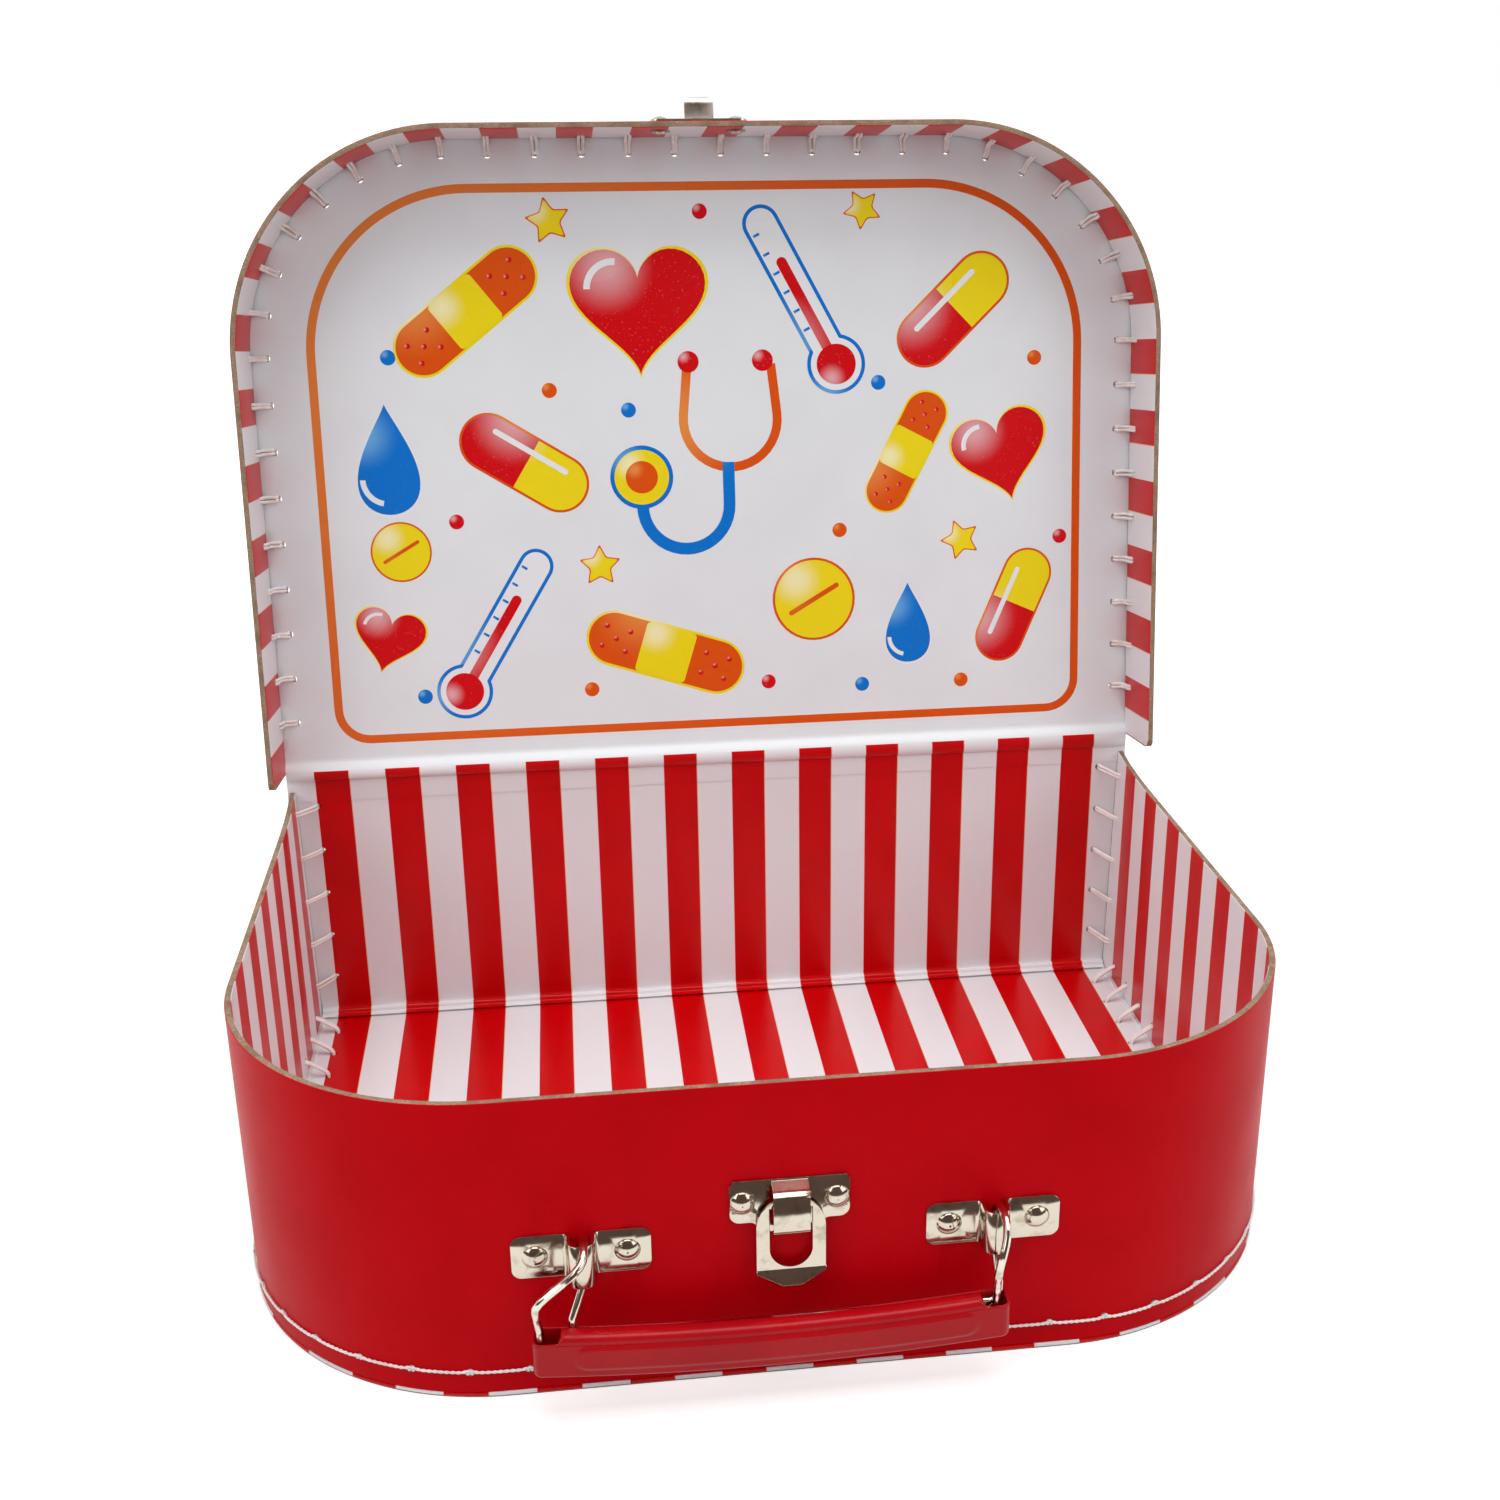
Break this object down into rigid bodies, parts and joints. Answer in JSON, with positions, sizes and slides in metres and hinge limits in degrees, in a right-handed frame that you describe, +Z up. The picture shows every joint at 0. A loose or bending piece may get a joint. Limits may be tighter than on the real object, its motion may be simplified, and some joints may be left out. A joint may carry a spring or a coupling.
{
  "type": "toy doctor case",
  "caption": "Stitched paperboard toy case with round corners, a lid on a paper crease, a hasp latch and a carrying handle.",
  "frame": {"origin": "middle of the flat underside of the base, on the table", "axes": "+Z up, the front with latch and handle faces -Y, +X to the right seen from the front"},
  "size_m": [0.255, 0.2229, 0.2622],
  "materials": {
    "lining_board": "paperboard lined with red and white striped paper",
    "red_board": "paperboard covered with satin red paper",
    "lid_board_paper": "paperboard with a printed lining and a red outside",
    "lid_red_board": "paperboard covered with satin red paper",
    "thread": "off-white twisted thread",
    "nickel_steel": "nickel-plated sheet steel",
    "washer_steel": "plain steel",
    "wire_steel": "nickel-plated steel wire",
    "red_lacquer": "glossy red lacquer"
  },
  "bodies": {
    "base": {"base_board": "lining_board", "base_rim": "red_board", "base_corner_stitches": "thread", "base_rim_thread": "thread", "base_underside_thread": "thread", "back_corner_stitches": "thread", "back_corner_threads": "thread", "latch_plate": "nickel_steel", "latch_rivets": "nickel_steel", "latch_washers": "washer_steel", "handle_bracket_left": "nickel_steel", "handle_bracket_right": "nickel_steel", "bracket_rivets": "nickel_steel", "bracket_washers": "washer_steel"},
    "lid": {"lid_board": "lid_board_paper", "lid_rim": "lid_red_board", "lid_corner_stitches": "thread", "lid_rim_thread": "thread", "lid_top_thread": "thread", "lid_catch": "nickel_steel", "catch_rivets": "nickel_steel", "catch_washers": "washer_steel"},
    "handle": {"handle_wire": "wire_steel", "handle_grip": "red_lacquer"},
    "hasp": {"latch_hasp": "nickel_steel"}
  },
  "joints": [
    {"name": "lid_hinge", "type": "hinge", "parent": "base", "child": "lid", "pos_m": [0, 0.0892, 0.0737], "axis": [-1, 0, 0], "range_deg": [-98.2, 81.8]},
    {"name": "handle_swing", "type": "hinge", "parent": "base", "child": "handle", "pos_m": [0, -0.0975, 0.0349], "axis": [-1, 0, 0], "range_deg": [0, 85]},
    {"name": "hasp_swing", "type": "hinge", "parent": "base", "child": "hasp", "pos_m": [-0.0008, -0.091, 0.04475], "axis": [-1, 0, 0], "range_deg": [0, 155]}
  ]
}
